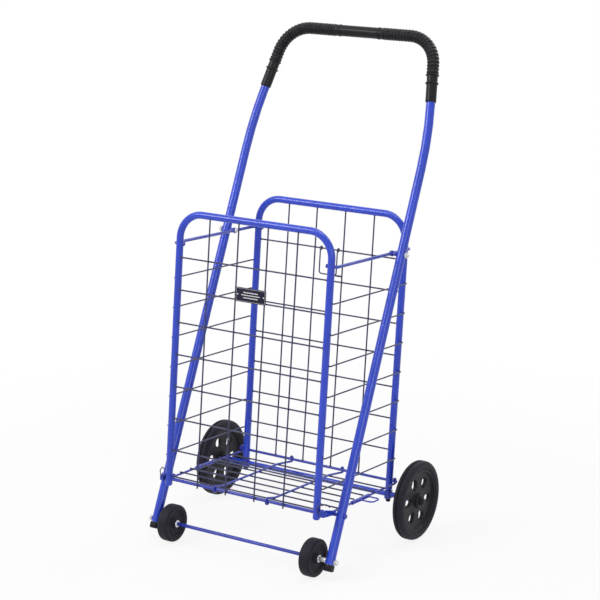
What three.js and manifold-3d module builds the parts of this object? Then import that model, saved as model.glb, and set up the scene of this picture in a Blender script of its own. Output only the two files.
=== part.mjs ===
import * as THREE from 'three';
import { mergeVertices } from 'three/addons/utils/BufferGeometryUtils.js';
import Module from 'manifold-3d';

// A folding wire basket cart, standing open on its four wheels. Millimetres, +X to the
// right seen from the front, the small front wheels towards -Y, +Z up.
//
// The pieces are built in the basket's own frame: x across, y backwards from the plane of
// the front hoop, z up along the hoop legs. At the end the whole cart is leaned back until
// the front and the rear wheels stand on one floor.

// ---- driving dimensions --------------------------------------------------------------

const basketWidth = 310; // between the leg centres of a hoop
const legX = basketWidth / 2; // from the middle of the cart to a leg's centre line
const basketDepth = 245; // between the planes of the two hoops
const linkRise = 8; // the rear end of every link lies this much higher

const hoopTube = { radius: 6.35, wall: 1, corner: 44 };
const frontHoopSpan = { foot: 103.5, top: 593 };
const rearHoopSpan = { foot: 107, top: 603 };

const meshWire = 1.5; // radius
const meshColumns = 4;
const meshRows = 7;
const meshPitchX = 60;
const meshPitchZ = 57.5;
const meshDrop = 78; // from the top bar down to the first row
const rowInset = 2.3; // rows lie behind the columns, pressed in where they are welded
const columnTail = 5; // front columns reach this far below the cross rod

const crossRod = { radius: 3, height: 116.5, end: legX + 18.8 }; // front cross rod
const lowerBar = { radius: 2.5, end: legX + 16 }; // rear lower bar
const rearAxle = { radius: 4.75, drop: 25.5, end: legX + 71 }; // drop: below the rear lower bar

const sideWire = { radius: 1.5, count: 7, top: 476.5, pitch: 53, reach: 2.95, bend: 3 };
const topRod = { radius: 2.5, height: 538.5, reach: 3.85, bend: 5, nub: 3 };
const rodEye = { radius: 5.2, width: 5 };

const floorRod = { radius: 2, inner: 55, outer: legX + 10.5, wrap: 205 }; // wrap in degrees
const floorWire = { radius: 1.5, count: 7, first: 20, behind: 41.4, overhang: 1.6 }; // behind the last
const floorSleeve = { radius: 3.6, start: 98, end: 156 };
const releaseLoop = { wire: 1.5, out: legX + 38, near: 122, far: 152 };
const weld = 0.6; // how far welded wires sink into each other

const handleTube = { radius: 8, wall: 1.2, half: legX + 28.7, lean: 19 }; // lean in degrees
const pivotPlace = 183; // of the handle pivot along the top rod, from the front hoop
const handleDown = 539.3; // from the pivot down the tube to the front axle
const handleTail = 5.5; // from the front axle to the tube's lower end
const handleBend = { along: 212.5, radius: 694, inward: 0.18, back: 0.325 };
const handleTop = 914; // height of the handle bar
const handleCorner = 57.7;

const grip = { wall: 2.2, slack: 0.018, centreHalf: 43, low: 803, joint: 0.4 };
const frontAxle = { radius: 3.2, end: legX + 40 };
const frontWheel = { radius: 33.4, width: 21.5, centre: legX - 6, rounding: 4.5 };
const rearWheel = { radius: 71.6, width: 20, centre: legX + 57, rim: 57, hub: 13, web: 7, rounding: 3.5 };
const rimSlots = { count: 6, radius: 33, length: 21, width: 18 };

const pivotBolt = { radius: 2.5, head: 4.6, headLength: 2.6, tail: 2.5 };
const pivotNut = { radius: 5.8, width: 4.2 };
const pivotSpacer = 4; // radius
const latchPin = { radius: 3, drop: 460, tail: 3 }; // drop: from the pivot down the tube
const latchPlate = { inner: legX + 13.4, thickness: 2.5, rim: 2.6, open: 66, slack: 0.6 }; // open in degrees
const endCap = { radius: 7.6, length: 11.5 };
const bail = { wire: 1.25, half: 18, drop: 46, corner: 4 };
const plate = { width: 60, height: 24, thickness: 1.2, across: 3, centre: 468.5 };
const hanger = { width: 9, depth: 12.7, foot: 91, plug: 9, bolt: 3, boltFoot: 85 };
const hubCap = { radius: 8, length: 6.5 };
const washer = { radius: 6.5, thickness: 1.8, sleeve: 4.6 };
const axleNut = { radius: 5.2, width: 5.5 };

const clearance = 0.3; // between neighbours that touch
const tubeSides = 12;
const rodSides = 8;
const wireSides = 6;
const wheelSides = 32;

// ---- places worked out from the dimensions -------------------------------------------

const linkSlope = linkRise / basketDepth;
const lowerBarHeight = crossRod.height + linkRise;
const axleHeight = lowerBarHeight - rearAxle.drop;
const handleLean = THREE.MathUtils.degToRad(handleTube.lean);
const pivot = { y: pivotPlace, z: topRod.height + linkSlope * pivotPlace };

// A point on the handle tube's straight part, at a distance up the tube from the pivot.
function onHandle(distance, x = handleTube.half) {
  const y = pivot.y + distance * Math.sin(handleLean);
  const z = pivot.z + distance * Math.cos(handleLean);
  return new THREE.Vector3(x, y, z);
}

const frontAxlePlace = onHandle(-handleDown);
const latchPlace = onHandle(-latchPin.drop);

// ---- colours and materials -----------------------------------------------------------

function material(color, roughness, metalness) {
  return new THREE.MeshStandardMaterial({ color, roughness, metalness });
}

const enamel = material(0x2b3fc4, 0.35, 0.2);
const wireEnamel = material(0x2a3794, 0.4, 0.2);
const foam = material(0x1b1b1d, 0.9, 0);
const tyreRubber = material(0x1c1c1e, 0.75, 0);
const blackPlastic = material(0x161618, 0.5, 0);
const zinc = material(0xb9bcc0, 0.35, 0.9);
const plateBlack = material(0x101012, 0.3, 0.3);

// ---- solids --------------------------------------------------------------------------

const wasm = await Module();
wasm.setup();

function toSolid(geometry) {
  const bare = geometry.clone();
  bare.deleteAttribute('normal');
  bare.deleteAttribute('uv');
  const merged = mergeVertices(bare, 1e-4);
  const vertProperties = new Float32Array(merged.attributes.position.array);
  const triVerts = new Uint32Array(merged.index.array);
  return new wasm.Manifold(new wasm.Mesh({ numProp: 3, vertProperties, triVerts }));
}

function toGeometry(solid) {
  const { vertProperties, triVerts } = solid.getMesh();
  const geometry = new THREE.BufferGeometry();
  geometry.setAttribute('position', new THREE.BufferAttribute(vertProperties, 3));
  geometry.setIndex(new THREE.BufferAttribute(triVerts, 1));
  geometry.computeVertexNormals();
  return geometry;
}

function join(geometries) {
  return toGeometry(geometries.map(toSolid).reduce((all, next) => all.add(next)));
}

function cut(geometry, tools) {
  return toGeometry(tools.map(toSolid).reduce((rest, tool) => rest.subtract(tool), toSolid(geometry)));
}

// ---- shapes --------------------------------------------------------------------------

function polygon(radius, sides) {
  return Array.from({ length: sides }, (_, i) => {
    const angle = ((i + 0.5) * 2 * Math.PI) / sides;
    return new THREE.Vector2(radius * Math.cos(angle), radius * Math.sin(angle));
  });
}

// A curve through given points, one sample on each point.
class Polyline extends THREE.Curve {
  constructor(points) {
    super();
    this.points = points;
  }

  getPointAt(u) {
    return this.points[Math.round(u * (this.points.length - 1))].clone();
  }

  getTangentAt(u) {
    const last = this.points.length - 1;
    const i = Math.round(u * last);
    const tangent = new THREE.Vector3();
    if (i > 0) {
      tangent.add(this.points[i].clone().sub(this.points[i - 1]).normalize());
    }
    if (i < last) {
      tangent.add(this.points[i + 1].clone().sub(this.points[i]).normalize());
    }
    return tangent.normalize();
  }
}

// Replaces the corner at b, between a and c, by an arc of the given radius.
function roundCorner(a, b, c, radius, steps) {
  const toA = a.clone().sub(b).normalize();
  const toC = c.clone().sub(b).normalize();
  const half = toA.angleTo(toC) / 2;
  const centre = b.clone().addScaledVector(toA.clone().add(toC).normalize(), radius / Math.sin(half));
  const start = b.clone().addScaledVector(toA, radius / Math.tan(half)).sub(centre);
  const axis = start.clone().cross(b.clone().sub(centre)).normalize();
  const turn = Math.PI - 2 * half;
  return Array.from({ length: steps + 1 }, (_, i) =>
    start.clone().applyAxisAngle(axis, (turn * i) / steps).add(centre));
}

// corners: [x, y, z, bend radius, steps]; the first and the last take no bend.
function bentLine(corners) {
  const places = corners.map(([x, y, z]) => new THREE.Vector3(x, y, z));
  return places.flatMap((place, i) => {
    const [, , , radius, steps] = corners[i];
    return radius ? roundCorner(places[i - 1], place, places[i + 1], radius, steps) : [place];
  });
}

function sweep(points, radius, sides, bore = 0, boreSides = rodSides) {
  const shape = new THREE.Shape(polygon(radius, sides));
  if (bore > 0) {
    shape.holes.push(new THREE.Path(polygon(bore, boreSides).reverse()));
  }
  const steps = points.length - 1;
  return new THREE.ExtrudeGeometry(shape, { steps, bevelEnabled: false, extrudePath: new Polyline(points) });
}

// A round bar from low to high along one axis, with its middle line through place.
function bar(axis, low, high, place, radius, sides) {
  const geometry = new THREE.CylinderGeometry(radius, radius, high - low, sides);
  if (axis === 'x') {
    geometry.rotateZ(-Math.PI / 2).translate((low + high) / 2, place.y, place.z);
  } else {
    geometry.rotateX(Math.PI / 2).translate(place.x, place.y, (low + high) / 2);
  }
  return geometry;
}

// A body of revolution about the x axis. profile: [radius, x from the origin].
function turned(profile, segments, place) {
  const outline = profile.map(([radius, along]) => new THREE.Vector2(radius, along));
  return new THREE.LatheGeometry(outline, segments).rotateZ(-Math.PI / 2).translate(place.x, place.y, place.z);
}

// A ring about the x axis with a bore, its faces at low and high.
function ring(low, high, place, radius, boreRadius, segments) {
  const profile = [[boreRadius, low], [radius, low], [radius, high], [boreRadius, high], [boreRadius, low]];
  return turned(profile, segments, { x: 0, y: place.y, z: place.z });
}

// Sideways extent of a piece on the left (-1) or the right (+1), lowest x first.
function span(side, near, far) {
  return side > 0 ? [near, far] : [-far, -near];
}

const sides = [['left', -1], ['right', 1]];
const cart = new THREE.Group();

function place(name, geometry, look) {
  const mesh = new THREE.Mesh(geometry, look);
  mesh.name = name;
  cart.add(mesh);
}

// ---- basket hoops and meshes ---------------------------------------------------------

function hoop(y, limits, drillings) {
  const { radius, wall, corner } = hoopTube;
  const line = bentLine([
    [-legX, y, limits.foot],
    [-legX, y, limits.top, corner, 5],
    [legX, y, limits.top, corner, 5],
    [legX, y, limits.foot],
  ]);
  const drills = sides.flatMap(([, side]) =>
    drillings.map(({ z, radius: drill, through }) => {
      const [low, high] = span(side, legX - (through ? 2 * radius : 0), legX + 2 * radius);
      return bar('x', low, high, { y, z }, drill + clearance, through ? tubeSides : rodSides);
    }));
  return cut(sweep(line, radius, tubeSides, radius - wall), drills);
}

// Heights of the side wires' front ends.
const wireHeights = Array.from({ length: sideWire.count }, (_, i) => sideWire.top - i * sideWire.pitch);

function legDrillings(rise) {
  return [
    ...wireHeights.map((z) => ({ z: z + rise, radius: sideWire.radius, through: false })),
    { z: topRod.height + rise, radius: topRod.radius, through: true },
  ];
}

// columnY: the plane of the upright wires; rowY: the plane of the level wires.
function meshPanel(columnY, rowY, hoopY, hoopTop, columnFoot) {
  const dropAt = (offset) => {
    const nearest = Math.max(0, Math.abs(offset) - meshWire);
    return Math.sqrt(hoopTube.radius ** 2 - nearest ** 2);
  };
  const columnTop = hoopTop - dropAt(columnY - hoopY) - clearance;
  const rowEnd = legX - dropAt(rowY - hoopY) - clearance;
  const columns = Array.from({ length: meshColumns }, (_, i) => {
    const x = (i - (meshColumns - 1) / 2) * meshPitchX;
    return bar('z', columnFoot, columnTop, { x, y: columnY }, meshWire, wireSides);
  });
  const rows = Array.from({ length: meshRows }, (_, i) => {
    const z = hoopTop - meshDrop - i * meshPitchZ;
    return bar('x', -rowEnd, rowEnd, { y: rowY, z }, meshWire, wireSides);
  });
  return join([...columns, ...rows]);
}

function addFrontPanel() {
  const drillings = [...legDrillings(0), { z: crossRod.height, radius: crossRod.radius, through: true }];
  place('front_hoop', hoop(0, frontHoopSpan, drillings), enamel);
  const columnY = -(crossRod.radius + meshWire + clearance);
  const columnFoot = crossRod.height - columnTail;
  const panel = meshPanel(columnY, columnY + rowInset, 0, frontHoopSpan.top, columnFoot);
  place('front_mesh', panel, wireEnamel);
  const rod = bar('x', -crossRod.end, crossRod.end, { y: 0, z: crossRod.height }, crossRod.radius, tubeSides);
  place('front_cross_rod', rod, enamel);
}

function addRearPanel() {
  const drillings = [...legDrillings(linkRise), { z: lowerBarHeight, radius: lowerBar.radius, through: true }];
  place('rear_hoop', hoop(basketDepth, rearHoopSpan, drillings), enamel);
  const columnFoot = lowerBarHeight + lowerBar.radius + clearance;
  const rowY = basketDepth + rowInset;
  const panel = meshPanel(basketDepth, rowY, basketDepth, rearHoopSpan.top, columnFoot);
  place('rear_mesh', panel, wireEnamel);
  const at = { y: basketDepth, z: lowerBarHeight };
  place('rear_lower_bar', bar('x', -lowerBar.end, lowerBar.end, at, lowerBar.radius, tubeSides), enamel);
}

// ---- links between the hoops ---------------------------------------------------------

// A rod beside the basket, from a hole in the front leg to one in the rear leg.
function linkLine(side, { radius, reach, bend }, height, tip) {
  const x = side * (legX + hoopTube.radius + reach);
  return {
    x,
    line: bentLine([
      [side * tip, 0, height],
      [x, 0, height, bend, 3],
      [x, basketDepth, height + linkRise, bend, 3],
      [side * tip, basketDepth, height + linkRise],
    ]),
    radius,
  };
}

function addSideWires() {
  for (const [word, side] of sides) {
    wireHeights.forEach((height, i) => {
      const { line, radius } = linkLine(side, sideWire, height, legX - 1);
      place(`side_wire_${word}_${i + 1}`, sweep(line, radius, wireSides), wireEnamel);
    });
  }
}

function addTopRods() {
  for (const [word, side] of sides) {
    const tip = legX - hoopTube.radius - topRod.nub;
    const { line, radius, x } = linkLine(side, topRod, topRod.height, tip);
    const eye = bar('x', x - rodEye.width / 2, x + rodEye.width / 2, pivot, rodEye.radius, tubeSides);
    const bore = bar('x', x - rodEye.width, x + rodEye.width, pivot, pivotBolt.radius + clearance, tubeSides);
    place(`top_rod_${word}`, cut(join([sweep(line, radius, rodSides), eye]), [bore]), enamel);
  }
}

// ---- floor ---------------------------------------------------------------------------

// Points of an arc about the x axis, in degrees from +y towards +z.
function arc(x, y, z, radius, from, to) {
  const steps = Math.max(1, Math.round(Math.abs(to - from) / 30));
  return Array.from({ length: steps + 1 }, (_, i) => {
    const angle = THREE.MathUtils.degToRad(from + ((to - from) * i) / steps);
    return new THREE.Vector3(x, y + radius * Math.cos(angle), z + radius * Math.sin(angle));
  });
}

const floorPitch = (basketDepth - floorWire.first - floorWire.behind) / (floorWire.count - 1);

// Height of the line through both bars that the floor hangs on.
function floorLine(y) {
  return crossRod.height + linkSlope * y;
}

const frontWrap = crossRod.radius + clearance + floorRod.radius;
const rearWrap = lowerBar.radius + clearance + floorRod.radius;
const outerOffset = -(frontWrap + rearWrap) / 2;
const wireOffset = outerOffset + floorRod.radius + floorWire.radius - weld;
const innerOffset = wireOffset + floorRod.radius + floorWire.radius - weld;

// Under both bars, with a hook up around each.
function outerFloorRod(x) {
  return [
    ...arc(x, 0, crossRod.height, frontWrap, -90 - floorRod.wrap, -90),
    ...arc(x, basketDepth, lowerBarHeight, rearWrap, -90, floorRod.wrap - 90),
  ];
}

// Over the front cross rod and under the rear bar, straight on the wires in between.
function innerFloorRod(x) {
  const front = floorWire.first + 4;
  const rear = floorWire.first + (floorWire.count - 1) * floorPitch - 4;
  return [
    ...arc(x, 0, crossRod.height, frontWrap, 90 + floorRod.wrap, 90),
    new THREE.Vector3(x, front, floorLine(front) + innerOffset),
    new THREE.Vector3(x, rear, floorLine(rear) + innerOffset),
    ...arc(x, basketDepth, lowerBarHeight, rearWrap, -110, floorRod.wrap - 90),
  ];
}

function addFloor() {
  const rods = [-1, 1].flatMap((side) => [
    sweep(outerFloorRod(side * floorRod.outer), floorRod.radius, rodSides),
    sweep(innerFloorRod(side * floorRod.inner), floorRod.radius, rodSides),
  ]);
  const margin = floorWire.radius + clearance;
  const wires = Array.from({ length: floorWire.count }, (_, i) => {
    const y = floorWire.first + i * floorPitch;
    const besideSleeve = y > floorSleeve.start - margin && y < floorSleeve.end + margin;
    const end = floorRod.outer + (besideSleeve ? -floorSleeve.radius - clearance : floorWire.overhang);
    return bar('x', -end, end, { y, z: floorLine(y) + wireOffset }, floorWire.radius, wireSides);
  });
  place('floor_grid', join([...rods, ...wires]), wireEnamel);
}

// ---- handle --------------------------------------------------------------------------

const bendPlace = onHandle(handleBend.along);
const rise = handleTop - bendPlace.z;
const barHalf = handleTube.half - handleBend.inward * rise; // where the sharp corners would be
const barY = bendPlace.y + handleBend.back * rise;

function handleLine() {
  const foot = onHandle(-handleDown - handleTail);
  const right = [
    [barHalf, barY, handleTop, handleCorner, 6],
    [handleTube.half, bendPlace.y, bendPlace.z, handleBend.radius, 3],
    [handleTube.half, foot.y, foot.z],
  ];
  const left = right.map(([x, ...rest]) => [-x, ...rest]).reverse();
  return bentLine([...left, ...right]);
}

function addHandle() {
  const { radius, wall, half } = handleTube;
  const drillings = [
    [pivot, pivotBolt.radius],
    [latchPlace, latchPin.radius],
    [frontAxlePlace, frontAxle.radius],
  ];
  const drills = sides.flatMap(([, side]) =>
    drillings.map(([at, drill]) => {
      const [low, high] = span(side, half - 2 * radius, half + 2 * radius);
      return bar('x', low, high, at, drill + clearance, tubeSides);
    }));
  place('handle_tube', cut(sweep(handleLine(), radius, tubeSides, radius - wall), drills), enamel);
}

// Part of the handle line between two x values, cut exactly there.
function topBarPiece(from, to) {
  return [new THREE.Vector3(from, barY, handleTop), new THREE.Vector3(to, barY, handleTop)];
}

// The soft sleeve over one corner, from low on the upright to the middle piece.
function cornerSleeveLine(side) {
  const share = (grip.low - bendPlace.z) / rise;
  const low = [handleTube.half + (barHalf - handleTube.half) * share, bendPlace.y + (barY - bendPlace.y) * share];
  return bentLine([
    [side * low[0], low[1], grip.low],
    [side * barHalf, barY, handleTop, handleCorner, 6],
    [side * (grip.centreHalf + grip.joint), barY, handleTop],
  ]);
}

function addGrips() {
  const bore = handleTube.radius / Math.cos(Math.PI / tubeSides) + grip.slack;
  const radius = handleTube.radius + grip.wall;
  const centre = topBarPiece(-grip.centreHalf, grip.centreHalf);
  place('grip_centre', sweep(centre, radius, tubeSides, bore, tubeSides), foam);
  for (const [word, side] of sides) {
    place(`grip_${word}`, sweep(cornerSleeveLine(side), radius, tubeSides, bore, tubeSides), foam);
  }
}

function addEndCaps() {
  const end = onHandle(-handleDown - handleTail - clearance);
  const tip = onHandle(-handleDown - handleTail - clearance - endCap.length);
  for (const [word, side] of sides) {
    const line = [end, tip].map(({ y, z }) => new THREE.Vector3(side * handleTube.half, y, z));
    place(`end_cap_${word}`, sweep(line, endCap.radius, tubeSides), blackPlastic);
  }
}

// ---- pivots and latches --------------------------------------------------------------

const eyeOuter = legX + hoopTube.radius + topRod.reach + rodEye.width / 2;
const eyeInner = eyeOuter - rodEye.width;
const handleInner = handleTube.half - handleTube.radius;
const handleOuter = handleTube.half + handleTube.radius;

function addPivotHardware() {
  const { radius, head, headLength, tail } = pivotBolt;
  const nutStart = handleOuter + clearance;
  const nutEnd = nutStart + pivotNut.width;
  for (const [word, side] of sides) {
    const headSpan = span(side, eyeInner - clearance - headLength, eyeInner - clearance);
    const shank = span(side, eyeInner - clearance - headLength / 2, nutEnd + tail);
    const headPiece = bar('x', ...headSpan, pivot, head, tubeSides);
    const shankPiece = bar('x', ...shank, pivot, radius, rodSides);
    place(`pivot_bolt_${word}`, join([headPiece, shankPiece]), zinc);
    const bore = radius + clearance;
    const spacer = span(side, eyeOuter + clearance, handleInner - clearance);
    place(`pivot_spacer_${word}`, ring(...spacer, pivot, pivotSpacer, bore, tubeSides), enamel);
    const nut = bar('x', ...span(side, nutStart, nutEnd), pivot, pivotNut.radius, wireSides);
    const hole = bar('x', ...span(side, nutStart - 1, nutEnd + 1), pivot, bore, tubeSides);
    place(`pivot_nut_${word}`, cut(nut, [hole]), zinc);
  }
}

function addLatchPins() {
  for (const [word, side] of sides) {
    const length = span(side, latchPlate.inner - clearance, handleOuter + latchPin.tail);
    place(`latch_pin_${word}`, bar('x', ...length, latchPlace, latchPin.radius, tubeSides), enamel);
  }
}

// A flat piece standing across the x axis. outline: [y, z] corners.
function flatPiece(outline, low, high) {
  const shape = new THREE.Shape(outline.map(([y, z]) => new THREE.Vector2(y, z)));
  const geometry = new THREE.ExtrudeGeometry(shape, { depth: high - low, bevelEnabled: false });
  const turn = new THREE.Matrix4().set(0, 0, 1, low, 1, 0, 0, 0, 0, 1, 0, 0, 0, 0, 0, 1);
  return geometry.applyMatrix4(turn);
}

// A plate on the front cross rod with a mouth over the pin that the handle carries.
function addLatchPlates() {
  const { inner, thickness, rim, open, slack } = latchPlate;
  const outer = inner + thickness;
  const rod = { y: 0, z: crossRod.height };
  const reach = latchPlace.y + latchPin.radius + rim;
  const low = latchPlace.z - 1;
  const round = crossRod.radius + clearance + rim;
  const top = latchPlace.z + latchPin.radius + rim;
  const outline = [
    [-round, rod.z - round + rim],
    [-round + rim, rod.z - round],
    [latchPlace.y - latchPin.radius - rim, low],
    [reach, low],
    [reach, top - rim],
    [reach - rim, top],
    [round - rim, rod.z + round],
    [-round + rim, rod.z + round],
    [-round, rod.z + round - rim],
  ];
  const mouth = latchPin.radius + slack;
  const angle = THREE.MathUtils.degToRad(-open);
  const away = [Math.cos(angle) * 3 * rim, Math.sin(angle) * 3 * rim];
  const across = [-Math.sin(angle) * mouth, Math.cos(angle) * mouth];
  const { y, z } = latchPlace;
  const mouthOutline = [
    [y - across[0], z - across[1]],
    [y - across[0] + away[0], z - across[1] + away[1]],
    [y + across[0] + away[0], z + across[1] + away[1]],
    [y + across[0], z + across[1]],
  ];
  for (const [word, side] of sides) {
    const [near, far] = span(side, inner, outer);
    const tools = [
      bar('x', near - 1, far + 1, rod, crossRod.radius + clearance, tubeSides),
      bar('x', near - 1, far + 1, latchPlace, mouth, tubeSides),
      flatPiece(mouthOutline, near - 1, far + 1),
    ];
    place(`latch_plate_${word}`, cut(flatPiece(outline, near, far), tools), enamel);
  }
}

// ---- wheels --------------------------------------------------------------------------

function addRearAxle() {
  const at = { y: basketDepth, z: axleHeight };
  place('rear_axle', bar('x', -rearAxle.end, rearAxle.end, at, rearAxle.radius, tubeSides), enamel);
  const { radius, wall } = hoopTube;
  const plug = radius - wall - 2 * clearance;
  const top = rearHoopSpan.foot - clearance;
  for (const [word, side] of sides) {
    const x = side * legX;
    const box = new THREE.BoxGeometry(hanger.width, hanger.depth, top - hanger.foot);
    box.translate(x, basketDepth, (top + hanger.foot) / 2);
    const stem = bar('z', top - 1, top + hanger.plug, { x, y: basketDepth }, plug, rodSides);
    const bolt = bar('z', hanger.boltFoot, hanger.foot + 1, { x, y: basketDepth }, hanger.bolt, rodSides);
    const bore = bar('x', x - 2 * radius, x + 2 * radius, at, rearAxle.radius + clearance, tubeSides);
    place(`axle_hanger_${word}`, cut(join([box, stem, bolt]), [bore]), enamel);
  }
}

function addRearWheels() {
  const { radius, width, centre, rim, hub, web, rounding } = rearWheel;
  const at = { y: basketDepth, z: axleHeight };
  const half = width / 2;
  const bore = rearAxle.radius + clearance;
  const bead = rim - clearance;
  const flange = bead - 4;
  for (const [word, side] of sides) {
    const x = side * centre;
    const tyre = [
      [rim, -half], [radius - rounding, -half], [radius, -half + rounding],
      [radius, half - rounding], [radius - rounding, half], [rim, half], [rim, -half],
    ];
    place(`rear_tyre_${word}`, turned(tyre, wheelSides, { ...at, x }), tyreRubber);
    const wheel = [
      [bore, -half], [hub, -half], [hub, -web / 2], [flange, -web / 2], [flange, -half + 1],
      [bead, -half + 1], [bead, half - 1], [flange, half - 1], [flange, web / 2], [hub, web / 2],
      [hub, half], [bore, half], [bore, -half],
    ];
    const slots = Array.from({ length: rimSlots.count }, (_, i) => {
      const slot = new THREE.BoxGeometry(width, rimSlots.width, rimSlots.length);
      slot.translate(0, 0, rimSlots.radius).rotateX((i * 2 * Math.PI) / rimSlots.count);
      return slot.translate(x, at.y, at.z);
    });
    place(`rear_rim_${word}`, cut(turned(wheel, wheelSides, { ...at, x }), slots), blackPlastic);
    const face = centre + half + clearance;
    const end = rearAxle.end + clearance;
    const cap = [
      [0, end], [bore, end], [bore, face], [hubCap.radius, face],
      [hubCap.radius, face + hubCap.length - 2], [hubCap.radius - 2, face + hubCap.length],
      [0, face + hubCap.length],
    ].map(([r, along]) => [r, side * along]);
    const outline = side > 0 ? cap : cap.reverse();
    place(`hub_cap_${word}`, turned(outline, tubeSides, { ...at, x: 0 }), blackPlastic);
  }
}

function addFrontWheels() {
  const { radius, width, centre, rounding } = frontWheel;
  const at = frontAxlePlace;
  const half = width / 2;
  place('front_axle', bar('x', -frontAxle.end, frontAxle.end, at, frontAxle.radius, tubeSides), enamel);
  for (const [word, side] of sides) {
    const x = side * centre;
    const bore = frontAxle.radius + clearance;
    const wheel = [
      [bore, -half], [radius - rounding, -half], [radius, -half + rounding],
      [radius, half - rounding], [radius - rounding, half], [bore, half], [bore, -half],
    ];
    place(`front_wheel_${word}`, turned(wheel, wheelSides, { y: at.y, z: at.z, x }), tyreRubber);
    const face = centre + half + clearance;
    const flange = face + washer.thickness;
    const sleeveEnd = handleInner - clearance;
    const spacer = [
      [bore, face], [washer.radius, face], [washer.radius, flange],
      [washer.sleeve, flange], [washer.sleeve, sleeveEnd], [bore, sleeveEnd], [bore, face],
    ].map(([r, along]) => [r, side * along]);
    const outline = side > 0 ? spacer : spacer.reverse();
    place(`wheel_washer_${word}`, turned(outline, tubeSides, { ...at, x: 0 }), zinc);
    const nutStart = handleOuter + clearance;
    const nut = bar('x', ...span(side, nutStart, nutStart + axleNut.width), at, axleNut.radius, wireSides);
    const hole = bar('x', ...span(side, nutStart - 1, frontAxle.end + clearance), at, bore, tubeSides);
    place(`axle_nut_${word}`, cut(nut, [hole]), zinc);
  }
}

// ---- small pieces --------------------------------------------------------------------

// A sleeve on each outer floor rod. The right one carries the loop that lifts the floor.
function addFloorSleeves() {
  const { radius, start, end } = floorSleeve;
  const { wire, out, near, far } = releaseLoop;
  const onRod = (x, y) => new THREE.Vector3(x, y, floorLine(y) + outerOffset);
  const bore = floorRod.radius + clearance;
  for (const [word, side] of sides) {
    const x = side * floorRod.outer;
    const tube = sweep([onRod(x, start), onRod(x, end)], radius, rodSides, bore);
    if (side < 0) {
      place(`floor_sleeve_${word}`, tube, enamel);
      continue;
    }
    const loop = bentLine([
      [x + bore, near, onRod(x, near).z],
      [out, near, onRod(x, near).z, 7, 3],
      [out, far, onRod(x, far).z, 7, 3],
      [x + bore, far, onRod(x, far).z],
    ]);
    const hole = sweep([onRod(x, start - 1), onRod(x, end + 1)], bore, rodSides);
    const solid = sweep([onRod(x, start), onRod(x, end)], radius, rodSides);
    place(`floor_sleeve_${word}`, cut(join([solid, sweep(loop, wire, wireSides)]), [hole]), enamel);
  }
}

function addNamePlate() {
  const back = -(crossRod.radius + 2 * meshWire + 2 * clearance);
  const geometry = new THREE.BoxGeometry(plate.width, plate.thickness, plate.height);
  place('name_plate', geometry.translate(plate.across, back - plate.thickness / 2, plate.centre), plateBlack);
}

// A wire hook that swings on the first row of the rear mesh.
function addBail() {
  const y = basketDepth + rowInset;
  const z = rearHoopSpan.top - meshDrop;
  const wrap = meshWire + clearance + bail.wire;
  const left = arc(-bail.half, y, z, wrap, -60, 180);
  const right = arc(bail.half, y, z, wrap, 180, -60);
  const middle = bentLine([
    [-bail.half, y - wrap, z],
    [-bail.half, y - wrap, z - bail.drop, bail.corner, 3],
    [bail.half, y - wrap, z - bail.drop, bail.corner, 3],
    [bail.half, y - wrap, z],
  ]).slice(1, -1);
  place('safety_bail', sweep([...left, ...middle, ...right], bail.wire, wireSides), zinc);
}

// ---- the whole cart ------------------------------------------------------------------

addFrontPanel();
addRearPanel();
addSideWires();
addTopRods();
addFloor();
addFloorSleeves();
addHandle();
addGrips();
addEndCaps();
addPivotHardware();
addLatchPins();
addLatchPlates();
addRearAxle();
addRearWheels();
addFrontWheels();
addNamePlate();
addBail();

// Leans the cart back until both pairs of wheels touch one floor, and centres it there.
function standOnFloor() {
  const across = basketDepth - frontAxlePlace.y;
  const up = axleHeight - frontAxlePlace.z;
  const step = rearWheel.radius - frontWheel.radius;
  const back = Math.atan2(up, across) - Math.asin(step / Math.hypot(up, across));
  const matrix = new THREE.Matrix4().makeRotationX(-back);
  for (const mesh of cart.children) {
    mesh.geometry.applyMatrix4(matrix);
  }
  const box = new THREE.Box3().setFromObject(cart, true);
  const shift = [0, -(box.min.y + box.max.y) / 2, -box.min.z];
  for (const mesh of cart.children) {
    mesh.geometry.translate(...shift);
  }
}

standOnFloor();

export default cart;
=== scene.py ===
import bpy
import bmesh
import math
from mathutils import Matrix, Vector


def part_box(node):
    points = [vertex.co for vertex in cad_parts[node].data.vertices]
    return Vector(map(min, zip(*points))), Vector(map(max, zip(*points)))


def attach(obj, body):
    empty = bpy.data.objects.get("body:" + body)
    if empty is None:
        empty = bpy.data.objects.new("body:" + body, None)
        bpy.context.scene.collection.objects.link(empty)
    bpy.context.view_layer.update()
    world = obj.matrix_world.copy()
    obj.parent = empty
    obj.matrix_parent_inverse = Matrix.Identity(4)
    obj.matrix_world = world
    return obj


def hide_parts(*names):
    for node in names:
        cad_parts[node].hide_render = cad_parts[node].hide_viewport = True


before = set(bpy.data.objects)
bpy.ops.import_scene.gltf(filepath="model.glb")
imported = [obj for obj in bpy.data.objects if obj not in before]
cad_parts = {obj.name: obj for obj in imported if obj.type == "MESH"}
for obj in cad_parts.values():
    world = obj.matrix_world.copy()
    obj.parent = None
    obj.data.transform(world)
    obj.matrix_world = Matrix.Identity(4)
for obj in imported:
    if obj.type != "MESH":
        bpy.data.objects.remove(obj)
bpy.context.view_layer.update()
print("frame loaded")


# Cart places: x across, y back from the front hoop, z up along the basket's legs, in mm.
# The whole cart leans back, so onCart() turns such a place into the standing cart's metres.
cartFrame = {"leanBack": 6.24886, "rearAxleY": 245.0, "rearAxleZ": 99.0}
axleLow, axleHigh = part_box("rear_axle")
axleMiddle = (axleLow + axleHigh) / 2
leanTurn = Matrix.Rotation(-math.radians(cartFrame["leanBack"]), 3, "X")
sides = (("left", -1), ("right", 1))


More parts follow.
